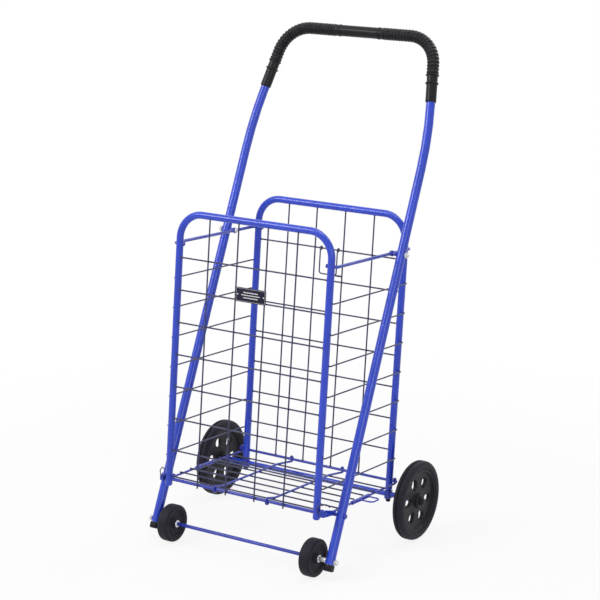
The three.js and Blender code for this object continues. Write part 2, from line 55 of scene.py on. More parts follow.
def onCart(place):
    x, y, z = place
    offset = Vector((x, y - cartFrame["rearAxleY"], z - cartFrame["rearAxleZ"]))
    return axleMiddle + leanTurn @ (offset / 1000)


def bentLine(corners, stepAngle):
    # corners are (place, bend radius), the ends take radius 0; stepAngle in degrees
    places = [Vector(corner[0]) for corner in corners]
    line = []
    for i, here in enumerate(places):
        radius = corners[i][1]
        if radius == 0:
            line.append(here)
            continue
        toBefore = (places[i - 1] - here).normalized()
        toAfter = (places[i + 1] - here).normalized()
        halfAngle = toBefore.angle(toAfter) / 2
        centre = here + (toBefore + toAfter).normalized() * (radius / math.sin(halfAngle))
        start = here + toBefore * (radius / math.tan(halfAngle)) - centre
        axis = start.cross(here - centre).normalized()
        turn = math.pi - 2 * halfAngle
        steps = max(2, math.ceil(math.degrees(turn) / stepAngle))
        for k in range(steps + 1):
            line.append(centre + Matrix.Rotation(turn * k / steps, 3, axis) @ start)
    return line


def ringFrames(line):
    # one pair of side directions for each point, carried along without twisting
    tangents = []
    for i in range(len(line)):
        before = line[max(i - 1, 0)]
        after = line[min(i + 1, len(line) - 1)]
        tangents.append((after - before).normalized())
    side = tangents[0].orthogonal().normalized()
    frames = []
    for tangent in tangents:
        side = (side - tangent * side.dot(tangent)).normalized()
        frames.append((tangent, side, tangent.cross(side)))
    return frames


def roundAngles(count):
    return [2 * math.pi * k / count for k in range(count)]


def addRing(bm, places):
    return [bm.verts.new(onCart(place)) for place in places]


def joinRings(bm, rings, closed=False):
    # a ring may be one point on the axis; closed joins the last ring to the first, else the ends are capped
    following = rings[1:] + rings[:1] if closed else rings[1:]
    for lower, upper in zip(rings, following):
        count = max(len(lower), len(upper))
        for k in range(count):
            n = (k + 1) % count
            corners = (lower[k % len(lower)], lower[n % len(lower)],
                       upper[n % len(upper)], upper[k % len(upper)])
            bm.faces.new(list(dict.fromkeys(corners)))
    if not closed:
        for end in (rings[0], rings[-1]):
            if len(end) > 2:
                bm.faces.new(end)


tubeEnds = {"bulge": 0.55, "angles": (22, 44, 66, 82)}


def addTube(bm, line, radii, ringSides, domeEnds=True):
    # radii is one number, or one for each point of the line
    if not isinstance(radii, (list, tuple)):
        radii = [radii] * len(line)
    frames = ringFrames(line)
    stations = [(place, radius, i) for i, (place, radius) in enumerate(zip(line, radii))]
    if domeEnds:
        first, last, lastIndex = radii[0], radii[-1], len(line) - 1
        for angle in tubeEnds["angles"]:
            a = math.radians(angle)
            out = tubeEnds["bulge"] * math.sin(a)
            stations.insert(0, (line[0] - frames[0][0] * first * out, first * math.cos(a), 0))
            stations.append((line[-1] + frames[-1][0] * last * out, last * math.cos(a), lastIndex))
    rings = []
    for place, radius, i in stations:
        side, up = frames[i][1:]
        rings.append(addRing(bm, [place + side * (radius * math.cos(a)) + up * (radius * math.sin(a))
                                  for a in roundAngles(ringSides)]))
    joinRings(bm, rings)


def addCrossWire(bm, half, y, z, radius, ringSides):
    addTube(bm, [Vector((-half, y, z)), Vector((half, y, z))], radius, ringSides)


def addTurned(bm, profile, centre, segments, direction=1):
    # profile: (radius, distance along x); a closed outline, or one that starts and ends on the axis
    smallest = 1e-6
    rings = []
    for radius, along in profile:
        x = centre[0] + direction * along
        angles = roundAngles(segments) if radius > smallest else [0]
        rings.append(addRing(bm, [(x, centre[1] + radius * math.cos(a), centre[2] + radius * math.sin(a))
                                  for a in angles]))
    joinRings(bm, rings, profile[0][0] > smallest)


def softOutline(points):
    # points: (a, b, corner radius), each corner drawn as a short curve
    steps = 3
    longestShare = 0.49
    outline = []
    for i, (a, b, radius) in enumerate(points):
        if radius == 0:
            outline.append((a, b))
            continue
        here = Vector((a, b))
        toBefore = Vector(points[i - 1][:2]) - here
        toAfter = Vector(points[(i + 1) % len(points)][:2]) - here
        reach = min(radius, toBefore.length * longestShare, toAfter.length * longestShare)
        start = here + toBefore.normalized() * reach
        end = here + toAfter.normalized() * reach
        for k in range(steps + 1):
            t = k / steps
            spot = start * (1 - t) ** 2 + here * 2 * t * (1 - t) + end * t ** 2
            outline.append((spot.x, spot.y))
    return outline


def mirroredOutline(points, *middle):
    # points run from the bore out along one face; the other face is the same the other way round
    otherFace = [(radius, -along, corner) for radius, along, corner in reversed(points)]
    return softOutline([*points, *middle, *otherFace])


def boxOutline(halfWidth, halfHeight, corner):
    return softOutline([(-halfWidth, -halfHeight, corner), (halfWidth, -halfHeight, corner),
                        (halfWidth, halfHeight, corner), (-halfWidth, halfHeight, corner)])


def addNugget(bm, place, radii):
    # a flattened bead of weld, radii in x, y and z
    scale = Matrix.Diagonal((radii[0] / 1000, radii[1] / 1000, radii[2] / 1000, 1))
    matrix = Matrix.Translation(onCart(place)) @ leanTurn.to_4x4() @ scale
    bmesh.ops.create_icosphere(bm, subdivisions=2, radius=1, matrix=matrix)


def newObject(name, bm):
    bmesh.ops.recalc_face_normals(bm, faces=bm.faces)
    mesh = bpy.data.meshes.new(name)
    bm.to_mesh(mesh)
    bm.free()
    piece = bpy.data.objects.new(name, mesh)
    bpy.context.scene.collection.objects.link(piece)
    return piece


def applyModifiers(piece):
    graph = bpy.context.evaluated_depsgraph_get()
    solid = bpy.data.meshes.new_from_object(piece.evaluated_get(graph))
    piece.modifiers.clear()
    piece.data = solid


def smoothByAngle(mesh, sharpAngle):
    bm = bmesh.new()
    bm.from_mesh(mesh)
    limit = math.radians(sharpAngle)
    for edge in bm.edges:
        edge.smooth = len(edge.link_faces) != 2 or edge.calc_face_angle(0) < limit
    for face in bm.faces:
        face.smooth = True
    bm.to_mesh(mesh)
    bm.free()


def nodeName(name):
    # a piece is named after the node that it replaces: pivotBolt.left stands for pivot_bolt_left
    return "".join("_" + letter.lower() if letter.isupper() else letter for letter in name.replace(".", "_"))


def finishPiece(name, bm, body, material, sharpAngle=38, bevel=0, isTrim=False):
    # sharpAngle in degrees, bevel in mm; a trim piece replaces no node
    piece = newObject(name, bm)
    if bevel:
        modifier = piece.modifiers.new("edges", "BEVEL")
        modifier.width = bevel / 1000
        modifier.segments = 2
        modifier.limit_method = "ANGLE"
        modifier.angle_limit = math.radians(40)
        applyModifiers(piece)
    smoothByAngle(piece.data, sharpAngle)
    piece.data.materials.clear()
    piece.data.materials.append(material)
    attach(piece, body)
    if not isTrim:
        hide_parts(nodeName(name))


def turnedPiece(name, profile, centre, segments, direction, body, material, sharpAngle=38):
    bm = bmesh.new()
    addTurned(bm, profile, centre, segments, direction)
    finishPiece(name, bm, body, material, sharpAngle)


def emptyTree(owner, outputType):
    owner.use_nodes = True
    tree = owner.node_tree
    tree.nodes.clear()
    return tree, tree.nodes.new(outputType)


def feed(tree, node, values):
    # a value that is another node's output is linked, any other is written on the node's own input
    for label, value in values.items():
        if isinstance(value, bpy.types.NodeSocket):
            tree.links.new(value, node.inputs[label])
        else:
            node.inputs[label].default_value = value
    return node


def addNode(tree, kind, values):
    return feed(tree, tree.nodes.new(kind), values)


def newFinish(name, slotName):
    material = bpy.data.materials.new(name)
    material["slotName"] = slotName
    tree, output = emptyTree(material, "ShaderNodeOutputMaterial")
    shader = tree.nodes.new("ShaderNodeBsdfPrincipled")
    feed(tree, output, {"Surface": shader.outputs["BSDF"]})
    return material, tree, shader, tree.nodes.new("ShaderNodeTexCoord").outputs["Object"]


def addNoise(tree, where, scale, detail, roughness=0.55):
    return addNode(tree, "ShaderNodeTexNoise", {
        "Vector": where, "Scale": scale, "Detail": detail, "Roughness": roughness}).outputs["Fac"]


def addRamp(tree, source, *stops):
    # two stops, each (position, colour)
    ramp = addNode(tree, "ShaderNodeValToRGB", {"Fac": source})
    for element, (position, colour) in zip(ramp.color_ramp.elements, stops):
        element.position = position
        element.color = (*colour, 1)
    return ramp.outputs["Color"]


def addRange(tree, source, fromLow, fromHigh, toLow, toHigh):
    return addNode(tree, "ShaderNodeMapRange", {
        "Value": source, "From Min": fromLow, "From Max": fromHigh, "To Min": toLow, "To Max": toHigh,
    }).outputs["Result"]


def addBump(tree, heights, strength, distance):
    return addNode(tree, "ShaderNodeBump", {
        "Height": heights, "Strength": strength, "Distance": distance}).outputs["Normal"]


def coverWith(tree, mask, below, colour):
    # a plain colour over another node's colour, where the mask says
    mix = tree.nodes.new("ShaderNodeMix")
    mix.data_type = "RGBA"
    return feed(tree, mix, {"Factor": mask, "A": below, "B": (*colour, 1)}).outputs["Result"]


def enamelFinish(name, slotName, look):
    # dipped enamel: faint colour drift, orange peel, a few scuffs
    material, tree, shader, where = newFinish(name, slotName)
    drift = addNoise(tree, where, look["driftScale"], 2)
    colour = addRamp(tree, drift, (0.3, look["deep"]), (0.7, look["bright"]))
    scuff = addNoise(tree, where, look["scuffScale"], 6, 0.7)
    scuffMask = addRange(tree, scuff, 0.66, 0.74, 0, look["scuffAmount"])
    gloss = addNoise(tree, where, look["driftScale"] * 3, 3)
    peel = addNoise(tree, where, look["peelScale"], 3)
    feed(tree, shader, {
        "Base Color": coverWith(tree, scuffMask, colour, look["worn"]),
        "Roughness": addRange(tree, gloss, 0.3, 0.7, *look["roughness"]),
        "Normal": addBump(tree, peel, look["peelStrength"], 0.0004),
        "Coat Weight": look["coat"], "Coat Roughness": 0.12, "Specular IOR Level": look["specular"],
    })
    return material


tubeEnamel = enamelFinish("blueTubeEnamel", "tube_enamel", {
    "deep": (0.016, 0.050, 0.52), "bright": (0.022, 0.064, 0.63), "worn": (0.07, 0.11, 0.56),
    "driftScale": 14, "scuffScale": 160, "scuffAmount": 0.5, "roughness": (0.21, 0.34),
    "peelScale": 700, "peelStrength": 0.10, "coat": 0.22, "specular": 0.4,
})
rodEnamel = enamelFinish("blueRodEnamel", "rod_enamel", {
    "deep": (0.024, 0.040, 0.36), "bright": (0.032, 0.052, 0.46), "worn": (0.09, 0.11, 0.40),
    "driftScale": 20, "scuffScale": 220, "scuffAmount": 0.5, "roughness": (0.29, 0.42),
    "peelScale": 900, "peelStrength": 0.12, "coat": 0.2, "specular": 0.4,
})
wireEnamel = enamelFinish("blueWireEnamel", "wire_enamel", {
    "deep": (0.028, 0.030, 0.080), "bright": (0.040, 0.043, 0.120), "worn": (0.08, 0.085, 0.16),
    "driftScale": 24, "scuffScale": 260, "scuffAmount": 0.6, "roughness": (0.31, 0.44),
    "peelScale": 1200, "peelStrength": 0.12, "coat": 0.1, "specular": 0.35,
})


def rubberFinish(name, slotName, look):
    # rubber, soft vinyl and hard plastic: patches, grey dust and a fine grain
    material, tree, shader, where = newFinish(name, slotName)
    patches = addNoise(tree, where, look["patchScale"], 5, 0.6)
    colour = addRamp(tree, patches, (0.32, look["dark"]), (0.72, look["light"]))
    dust = addNoise(tree, where, look["dustScale"], 8, 0.75)
    dustMask = addRange(tree, dust, 0.55, 0.8, 0, look["dustAmount"])
    grain = addNoise(tree, where, look["grainScale"], 4, 0.6)
    feed(tree, shader, {
        "Base Color": coverWith(tree, dustMask, colour, look["dust"]),
        "Roughness": addRange(tree, dust, 0.3, 0.75, *look["roughness"]),
        "Normal": addBump(tree, grain, look["grainStrength"], 0.0003),
        "Specular IOR Level": look["specular"],
    })
    return material


gripRubber = rubberFinish("gripVinyl", "grip_foam", {
    "dark": (0.005, 0.005, 0.007), "light": (0.010, 0.010, 0.013), "dust": (0.035, 0.035, 0.04),
    "patchScale": 30, "dustScale": 190, "dustAmount": 0.25, "roughness": (0.28, 0.46),
    "grainScale": 1500, "grainStrength": 0.2, "specular": 0.2,
})
tyreRubber = rubberFinish("tyreRubber", "tyre", {
    "dark": (0.010, 0.009, 0.016), "light": (0.016, 0.015, 0.025), "dust": (0.045, 0.043, 0.055),
    "patchScale": 22, "dustScale": 120, "dustAmount": 0.35, "roughness": (0.52, 0.70),
    "grainScale": 900, "grainStrength": 0.35, "specular": 0.2,
})
blackPlastic = rubberFinish("blackPlastic", "black_plastic", {
    "dark": (0.006, 0.006, 0.010), "light": (0.010, 0.010, 0.016), "dust": (0.04, 0.04, 0.05),
    "patchScale": 26, "dustScale": 150, "dustAmount": 0.22, "roughness": (0.36, 0.54),
    "grainScale": 2200, "grainStrength": 0.18, "specular": 0.18,
})


def zincFinish():
    look = {"pale": (0.70, 0.70, 0.72), "dull": (0.46, 0.46, 0.47), "straw": (0.62, 0.58, 0.46),
            "spangleScale": 420, "stainScale": 90, "stainAmount": 0.5, "roughness": (0.24, 0.44),
            "bumpStrength": 0.15}
    material, tree, shader, where = newFinish("brightZinc", "zinc")
    spangle = addNoise(tree, where, look["spangleScale"], 4, 0.6)
    colour = addRamp(tree, spangle, (0.35, look["dull"]), (0.65, look["pale"]))
    stain = addNoise(tree, where, look["stainScale"], 5, 0.7)
    stainMask = addRange(tree, stain, 0.55, 0.75, 0, look["stainAmount"])
    feed(tree, shader, {
        "Base Color": coverWith(tree, stainMask, colour, look["straw"]), "Metallic": 1,
        "Roughness": addRange(tree, spangle, 0.3, 0.7, *look["roughness"]),
        "Normal": addBump(tree, spangle, look["bumpStrength"], 0.0002),
    })
    return material


def plateFinish():
    look = {"ink": (0.008, 0.008, 0.026), "worn": (0.018, 0.018, 0.05), "hazeScale": 140,
            "roughness": (0.22, 0.38), "bumpStrength": 0.08, "specular": 0.2}
    material, tree, shader, where = newFinish("blackPlateEnamel", "name_plate")
    haze = addNoise(tree, where, look["hazeScale"], 5, 0.6)
    feed(tree, shader, {
        "Base Color": addRamp(tree, haze, (0.35, look["ink"]), (0.75, look["worn"])),
        "Roughness": addRange(tree, haze, 0.3, 0.7, *look["roughness"]),
        "Normal": addBump(tree, haze, look["bumpStrength"], 0.0002),
        "Specular IOR Level": look["specular"],
    })
    return material


brightZinc = zincFinish()
plateEnamel = plateFinish()
print("finishes ready")


hoops = {
    "halfWidth": 155, "radius": 6.35, "corner": 44, "frontY": 0, "rearY": 245,
    "frontFoot": 106.5, "frontTop": 593, "rearFoot": 110, "rearTop": 603, "roundness": 28,
}
panels = {
    "wire": 1.4, "wireSides": 12, "columns": (-90, -30, 30, 90), "rows": 7, "rowPitch": 57.5,
    "rowDrop": 78, "rowInset": 2.3, "pressedIn": 0.6, "frontColumnY": -4.8, "frontFoot": 111.5,
    "rearFoot": 127.3, "frontFootBead": (2.3, 1.6, 2.6), "rearFootBead": (2.5, 2.4, 1.6),
    "topBead": (2.6, 2.2, 1.6), "endBead": (1.6, 2.3, 2.6), "crossingBead": (2.1, 1.5, 2.1),
}
bars = {
    "crossRod": 3.0, "crossRodZ": 116.5, "crossRodEnd": 173.8,
    "lowerBar": 2.5, "lowerBarZ": 124.5, "lowerBarEnd": 171.0,
    "axle": 4.75, "axleZ": 99, "axleEnd": 226.0,
}


def buildHoop(name, body, y, foot, top):
    bm = bmesh.new()
    half = hoops["halfWidth"]
    line = bentLine([
        ((-half, y, foot), 0), ((-half, y, top), hoops["corner"]),
        ((half, y, top), hoops["corner"]), ((half, y, foot), 0),
    ], 5)
    addTube(bm, line, hoops["radius"], hoops["roundness"])
    finishPiece(name, bm, body, tubeEnamel)


def tubeWall(offset):
    # where a wire lying off the hoop tube's middle meets its wall, pressed in a little
    return math.sqrt(hoops["radius"] ** 2 - offset ** 2) - panels["pressedIn"]


def buildPanel(name, body, hoopY, top, columnY, columnFoot, footWeld, footBead):
    # footWeld: (y, z) of the beads at the columns' feet
    bm = bmesh.new()
    wire, wireSides = panels["wire"], panels["wireSides"]
    rowY = columnY + panels["rowInset"]
    columnTop = top - tubeWall(columnY - hoopY)
    rowEnd = hoops["halfWidth"] - tubeWall(rowY - hoopY)
    for x in panels["columns"]:
        addTube(bm, [Vector((x, columnY, columnFoot)), Vector((x, columnY, columnTop))], wire, wireSides)
        addNugget(bm, (x, (columnY + hoopY) / 2, columnTop), panels["topBead"])
    for i in range(panels["rows"]):
        z = top - panels["rowDrop"] - i * panels["rowPitch"]
        addCrossWire(bm, rowEnd, rowY, z, wire, wireSides)
        for end in (-rowEnd, rowEnd):
            addNugget(bm, (end, rowY, z), panels["endBead"])
        for x in panels["columns"]:
            addNugget(bm, (x, (columnY + rowY) / 2, z), panels["crossingBead"])
    for x in panels["columns"]:
        addNugget(bm, (x, *footWeld), footBead)
    finishPiece(name, bm, body, wireEnamel)


def straightBar(name, body, material, y, key):
    # key names the bar's radius in bars; with Z and End added it names the height and the end
    bm = bmesh.new()
    radius = bars[key]
    addCrossWire(bm, bars[key + "End"] - radius / 2, y, bars[key + "Z"], radius, 20)
    finishPiece(name, bm, body, material)


frontY, rearY = hoops["frontY"], hoops["rearY"]
buildHoop("frontHoop", "front_frame", frontY, hoops["frontFoot"], hoops["frontTop"])
buildHoop("rearHoop", "rear_frame", rearY, hoops["rearFoot"], hoops["rearTop"])
buildPanel("frontMesh", "front_frame", frontY, hoops["frontTop"], panels["frontColumnY"],
           panels["frontFoot"], (panels["frontColumnY"] + panels["wire"], bars["crossRodZ"]),
           panels["frontFootBead"])
buildPanel("rearMesh", "rear_frame", rearY, hoops["rearTop"], rearY, panels["rearFoot"],
           (rearY, panels["rearFoot"] - 0.4), panels["rearFootBead"])
straightBar("frontCrossRod", "front_frame", rodEnamel, frontY, "crossRod")
straightBar("rearLowerBar", "rear_frame", rodEnamel, rearY, "lowerBar")
straightBar("rearAxle", "rear_frame", tubeEnamel, rearY, "axle")
print("hoops and panels built")


sideWires = {"radius": 1.35, "across": 164.3, "tip": 154, "count": 7, "top": 476.5, "pitch": 53,
             "rise": 8, "bend": 3, "sides": 12}
topRods = {"radius": 2.8, "across": 165.2, "tip": 147.05, "height": 538.5, "bend": 5, "sides": 16,
           "eye": 5.2, "eyeBore": 2.9, "eyeWidth": 5, "eyeOverlap": 1.2, "pivotY": 183,
           "padAt": 146.55, "padRadius": 3.5, "padHalf": 1.1}


def linkLine(side, rod, height):
    # from the front hoop's leg back to the rear hoop's leg, which it meets a little higher
    across, tip, bend = side * rod["across"], side * rod["tip"], rod["bend"]
    rearHeight = height + sideWires["rise"]
    return bentLine([((tip, frontY, height), 0), ((across, frontY, height), bend),
                     ((across, rearY, rearHeight), bend), ((tip, rearY, rearHeight), 0)], 15)


def risenHeight(height, y):
    # the links and the floor all stand a little higher at the rear hoop
    return height + sideWires["rise"] / rearY * y


def buildSideWires():
    for word, side in sides:
        for i in range(sideWires["count"]):
            bm = bmesh.new()
            line = linkLine(side, sideWires, sideWires["top"] - i * sideWires["pitch"])
            addTube(bm, line, sideWires["radius"], sideWires["sides"])
            finishPiece(f"sideWire.{word}.{i + 1}", bm, f"side_wires_{i + 1}", wireEnamel)


def buildTopRods():
    pivotY, eye, half = topRods["pivotY"], topRods["eye"], topRods["eyeWidth"] / 2
    gap = eye - topRods["eyeOverlap"]
    eyeOutline = mirroredOutline([(topRods["eyeBore"], -half, 0.5), (eye, -half, 0.9)])
    padHalf = topRods["padHalf"]
    padOutline = mirroredOutline([(0, -padHalf, 0), (topRods["padRadius"], -padHalf, 0.5)])
    for word, side in sides:
        bm = bmesh.new()
        across = side * topRods["across"]
        line = linkLine(side, topRods, topRods["height"])
        middle = len(line) // 2
        frontCut, rearCut = (Vector((across, y, risenHeight(topRods["height"], y)))
                             for y in (pivotY - gap, pivotY + gap))
        addTube(bm, line[:middle] + [frontCut], topRods["radius"], topRods["sides"])
        addTube(bm, [rearCut] + line[middle:], topRods["radius"], topRods["sides"])
        addTurned(bm, eyeOutline, (across, pivotY, risenHeight(topRods["height"], pivotY)), 32)
        for y in (frontY, rearY):
            addTurned(bm, padOutline, (side * topRods["padAt"], y, risenHeight(topRods["height"], y)), 16)
        finishPiece(f"topRod.{word}", bm, "top_rods", rodEnamel)


buildSideWires()
buildTopRods()
print("links built")


floorParts = {
    "rod": 2.0, "rodSides": 14, "outer": 165.5, "inner": 55, "wrap": 205, "wire": 1.4, "wireSides": 12,
    "count": 7, "first": 20, "pitch": 30.6, "overhang": 1.6, "weld": 0.6, "clearance": 0.3,
    "innerEnds": 4, "innerBead": (2.3, 2.0, 1.3), "outerBead": (2.1, 2.0, 1.2), "beadOff": 1.6,
}
floorSleeves = {"radius": 3.6, "start": 98, "end": 156, "play": 0.25, "lip": 0.5, "rolled": 0.6}
releaseLoop = {"wire": 1.4, "out": 191.5, "near": 124, "far": 150, "corner": 7, "root": 2.6,
               "bead": (1.6, 2.4, 2.2)}
frontWrap = bars["crossRod"] + floorParts["clearance"] + floorParts["rod"]
rearWrap = bars["lowerBar"] + floorParts["clearance"] + floorParts["rod"]
layerStep = floorParts["rod"] + floorParts["wire"] - floorParts["weld"]
outerOffset = -(frontWrap + rearWrap) / 2
wireOffset = outerOffset + layerStep
innerOffset = wireOffset + layerStep


def arcLine(x, y, z, radius, start, end):
    # points on an arc across the cart's side, angles in degrees from straight back
    steps = max(2, round(abs(end - start) / 12))
    line = []
    for k in range(steps + 1):
        a = math.radians(start + (end - start) * k / steps)
        line.append(Vector((x, y + radius * math.cos(a), z + radius * math.sin(a))))
    return line


def buildFloorRods():
    # the outer rods hang under the bars and the inner rods lie over the front one, all with hooked ends
    bm = bmesh.new()
    wrap, first = floorParts["wrap"], floorParts["first"]
    last = first + (floorParts["count"] - 1) * floorParts["pitch"]
    for side in (-1, 1):
        x = side * floorParts["outer"]
        line = arcLine(x, frontY, bars["crossRodZ"], frontWrap, -90 - wrap, -90)
        line += arcLine(x, rearY, bars["lowerBarZ"], rearWrap, -90, wrap - 90)
        addTube(bm, line, floorParts["rod"], floorParts["rodSides"])
        x = side * floorParts["inner"]
        line = arcLine(x, frontY, bars["crossRodZ"], frontWrap, 90 + wrap, 90)
        for y in (first + floorParts["innerEnds"], last - floorParts["innerEnds"]):
            line.append(Vector((x, y, risenHeight(bars["crossRodZ"], y) + innerOffset)))
        line += arcLine(x, rearY, bars["lowerBarZ"], rearWrap, -110, wrap - 90)
        addTube(bm, line, floorParts["rod"], floorParts["rodSides"])
    finishPiece("floorGrid", bm, "basket_floor", rodEnamel)


def buildFloorWires():
    # the wires beside the sleeves stop short of them
    bm = bmesh.new()
    outer, inner, beadOff = floorParts["outer"], floorParts["inner"], floorParts["beadOff"]
    margin = floorParts["wire"] + floorParts["clearance"]
    for i in range(floorParts["count"]):
        y = floorParts["first"] + i * floorParts["pitch"]
        z = risenHeight(bars["crossRodZ"], y) + wireOffset
        beside = floorSleeves["start"] - margin < y < floorSleeves["end"] + margin
        end = outer - floorSleeves["radius"] - 0.5 if beside else outer + floorParts["overhang"]
        addCrossWire(bm, end, y, z, floorParts["wire"], floorParts["wireSides"])
        for x in (-inner, inner):
            addNugget(bm, (x, y, z + beadOff), floorParts["innerBead"])
        if not beside:
            for x in (-outer, outer):
                addNugget(bm, (x, y, z - beadOff), floorParts["outerBead"])
    finishPiece("floorWires", bm, "basket_floor", wireEnamel, isTrim=True)


def onOuterRod(x, y):
    return Vector((x, y, risenHeight(bars["crossRodZ"], y) + outerOffset))


def buildFloorSleeve(word, side):
    # a tube with rolled ends around the outer rod; the right one carries the lifting loop
    bm = bmesh.new()
    x = side * floorParts["outer"]
    radius, lip, rolled = floorSleeves["radius"], floorSleeves["lip"], floorSleeves["rolled"]
    bore = floorParts["rod"] + floorSleeves["play"]
    start, end = onOuterRod(x, floorSleeves["start"]), onOuterRod(x, floorSleeves["end"])
    length = (end - start).length
    along = (end - start).normalized()
    across, up = Vector((1, 0, 0)), Vector((0, -along.z, along.y))
    frontEnd = [(bore, 0.4), (bore + lip, 0), (radius - rolled, 0), (radius, rolled)]
    stations = frontEnd + [(reach, length - distance) for reach, distance in reversed(frontEnd)]
    rings = []
    for reach, distance in stations:
        middle = start + along * distance
        rings.append(addRing(bm, [middle + across * reach * math.cos(a) + up * reach * math.sin(a)
                                  for a in roundAngles(20)]))
    joinRings(bm, rings, True)
    if word == "right":
        root, out, corner = x + releaseLoop["root"], releaseLoop["out"], releaseLoop["corner"]
        near, far = releaseLoop["near"], releaseLoop["far"]
        loop = bentLine([(onOuterRod(root, near), 0), (onOuterRod(out, near), corner),
                         (onOuterRod(out, far), corner), (onOuterRod(root, far), 0)], 15)
        addTube(bm, loop, releaseLoop["wire"], 12)
        for y in (near, far):
            addNugget(bm, onOuterRod(x + radius, y), releaseLoop["bead"])
    finishPiece(f"floorSleeve.{word}", bm, "basket_floor", rodEnamel)


buildFloorRods()
buildFloorWires()
for word, side in sides:
    buildFloorSleeve(word, side)
print("basket floor built")


handle = {
    "half": 183.7, "radius": 8, "lean": 19, "downToAxle": 539.3, "tail": 5.5, "bendAlong": 212.5,
    "bendRadius": 694, "inward": 0.18, "back": 0.325, "top": 914, "corner": 57.7, "roundness": 32,
    "latchDrop": 460,
}
grips = {
    "low": 803, "centreHalf": 43, "seam": 0.4, "bore": 8.15, "cuff": 9.7, "cuffLength": 33, "edge": 1.2,
    "ring": 11.9, "ringWidth": 3.4, "secondRing": 48, "crest": 11.0, "valley": 9.3, "pitch": 6.2,
    "roundness": 28, "spacing": 0.85, "centre": 10.15, "centreEnd": 3.5, "centreRing": 11.1,
}
endCaps = {"half": 7.3, "corner": 2.4, "gap": 0.3,
           "taper": ((0, 0.86), (0.8, 0.97), (2, 1), (8.5, 1), (10.5, 0.94), (11.5, 0.8))}


def onHandle(distance, x=0.0):
    # a place on the straight part of a handle leg, measured up from the pivot
    lean = math.radians(handle["lean"])
    y = topRods["pivotY"] + distance * math.sin(lean)
    return Vector((x, y, risenHeight(topRods["height"], topRods["pivotY"]) + distance * math.cos(lean)))


bendPlace = onHandle(handle["bendAlong"])
climb = handle["top"] - bendPlace.z
barHalf = handle["half"] - handle["inward"] * climb
barY = bendPlace.y + handle["back"] * climb


def buildHandleTube():
    bm = bmesh.new()
    foot = onHandle(-handle["downToAxle"] - handle["tail"])
    half, top, corner = handle["half"], handle["top"], handle["corner"]
    line = bentLine([
        ((-half, foot.y, foot.z), 0), ((-half, bendPlace.y, bendPlace.z), handle["bendRadius"]),
        ((-barHalf, barY, top), corner), ((barHalf, barY, top), corner),
        ((half, bendPlace.y, bendPlace.z), handle["bendRadius"]), ((half, foot.y, foot.z), 0),
    ], 4)
    addTube(bm, line, handle["radius"], handle["roundness"], False)
    finishPiece("handleTube", bm, "handle", tubeEnamel)


def gripRadius(distance, total):
    # a plain cuff with two rings, then ribs up to the middle piece
    cuff, ringHalf = grips["cuff"], grips["ringWidth"] / 2
    for start in (grips["cuffLength"], grips["secondRing"]):
        offset = abs(distance - start - ringHalf) / ringHalf
        if offset < 1:
            return cuff + (grips["ring"] - cuff) * math.sqrt(1 - offset ** 2)
    ribsFrom = grips["secondRing"] + grips["ringWidth"]
    if distance < ribsFrom:
        return cuff - max(grips["edge"] - distance, 0)
    if distance > total - grips["centreEnd"]:
        return grips["centre"]
    phase = (distance - ribsFrom) / grips["pitch"] % 1
    return grips["valley"] + (grips["crest"] - grips["valley"]) * math.sin(math.pi * phase) ** 0.7


def resample(line, spacing):
    # evenly spaced points along the line, and each one's distance from the start
    lengths = [0.0]
    for a, b in zip(line, line[1:]):
        lengths.append(lengths[-1] + (b - a).length)
    count = round(lengths[-1] / spacing)
    distances = [lengths[-1] * k / count for k in range(count + 1)]
    points = []
    i = 0
    for distance in distances:
        while i < len(line) - 2 and lengths[i + 1] < distance:
            i += 1
        share = (distance - lengths[i]) / (lengths[i + 1] - lengths[i])
        points.append(line[i].lerp(line[i + 1], min(share, 1)))
    return points, distances


def buildGrips():
    share = (grips["low"] - bendPlace.z) / climb
    lowX = handle["half"] + (barHalf - handle["half"]) * share
    lowY = bendPlace.y + (barY - bendPlace.y) * share
    half, top = grips["centreHalf"], handle["top"]
    for word, side in sides:
        bm = bmesh.new()
        line = bentLine([
            ((side * lowX, lowY, grips["low"]), 0), ((side * barHalf, barY, top), handle["corner"]),
            ((side * (half + grips["seam"]), barY, top), 0),
        ], 2.5)
        points, distances = resample(line, grips["spacing"])
        radii = [gripRadius(distance, distances[-1]) for distance in distances]
        addTube(bm, points, radii, grips["roundness"], False)
        finishPiece(f"grip.{word}", bm, "handle", gripRubber, 60)
    ring = grips["centreRing"]
    outline = mirroredOutline([(grips["bore"], -half, 0), (ring - 0.3, -half, 0.8), (ring, -half + 3.2, 0.8),
                               (grips["centre"], -half + 3.8, 0.5)])
    turnedPiece("grip.centre", outline, (0, barY, top), 40, 1, "handle", gripRubber)


def buildEndCaps():
    lean = math.radians(handle["lean"])
    down = Vector((0, -math.sin(lean), -math.cos(lean)))
    across, front = Vector((1, 0, 0)), Vector((0, -math.cos(lean), math.sin(lean)))
    outline = boxOutline(endCaps["half"], endCaps["half"], endCaps["corner"])
    for word, side in sides:
        bm = bmesh.new()
        top = onHandle(-handle["downToAxle"] - handle["tail"] - endCaps["gap"], side * handle["half"])
        joinRings(bm, [addRing(bm, [top + down * drop + across * a * scale + front * b * scale
                                    for a, b in outline]) for drop, scale in endCaps["taper"]])
        finishPiece(f"endCap.{word}", bm, "handle", blackPlastic, 50)


buildHandleTube()
buildGrips()
buildEndCaps()
print("push handle built")


pivotParts = {"boltRadius": 2.5, "head": 4.6, "headLength": 2.6, "nut": 5.6, "nutWidth": 4.2,
              "tail": 2.5, "spacer": 4.0, "gap": 0.3}
latchPins = {"inner": 168.1, "radius": 3.0, "collar": 4.6, "tail": 3.0}
catchWires = {"radius": 0.9, "high": 16, "front": -13, "back": 12, "inner": 163.4, "outer": 173.1}
